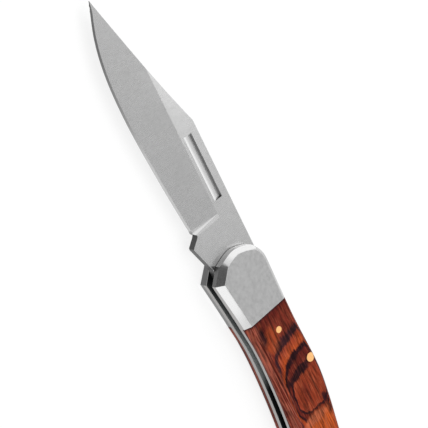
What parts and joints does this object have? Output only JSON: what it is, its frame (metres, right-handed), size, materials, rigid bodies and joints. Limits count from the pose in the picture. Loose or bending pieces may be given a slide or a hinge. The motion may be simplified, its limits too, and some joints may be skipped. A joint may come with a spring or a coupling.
{
  "type": "folding pocket knife",
  "caption": "Slip-joint folding pocket knife with a clip-point blade, steel bolsters and laminated wood scales, shown open.",
  "frame": {"origin": "on the pivot axis of the blade, in the plane of the pile-side faces that the knife rests on", "axes": "+X along the handle to its butt, +Y to the back of the knife (the spring side), +Z out of the mark side, the side with the nail nick"},
  "size_m": [0.1836, 0.0242, 0.009],
  "materials": {
    "blade_steel": "satin, with a flat grind brushed across the blade",
    "spring_steel": "satin",
    "bolster_steel": "satin face, brighter chamfers",
    "liner_metal": "fine ground edges",
    "scale_wood": "laminated red-brown wood, oiled, with dark figure",
    "pin_brass": "ground flush"
  },
  "bodies": {
    "handle": {"back_spring": "spring_steel", "liner_mark_side": "liner_metal", "liner_pile_side": "liner_metal", "bolster_mark_side": "bolster_steel", "bolster_pile_side": "bolster_steel", "scale_mark_side": "scale_wood", "scale_pile_side": "scale_wood", "pivot_pin": "spring_steel", "spring_pin_middle": "pin_brass", "spring_pin_tail": "pin_brass", "scale_pin_front_mark_side": "pin_brass", "scale_pin_front_pile_side": "pin_brass", "scale_pin_rear_mark_side": "pin_brass", "scale_pin_rear_pile_side": "pin_brass", "bolster_rivet_front_mark_side": "spring_steel", "bolster_rivet_front_pile_side": "spring_steel", "bolster_rivet_rear_mark_side": "spring_steel", "bolster_rivet_rear_pile_side": "spring_steel"},
    "blade": {"blade": "blade_steel"}
  },
  "joints": [
    {"name": "blade_fold", "type": "hinge", "parent": "handle", "child": "blade", "pos_m": [0, 0, 0.0045], "axis": [0, 0, 1], "range_deg": [0, 174], "deforming": ["back_spring"]}
  ]
}
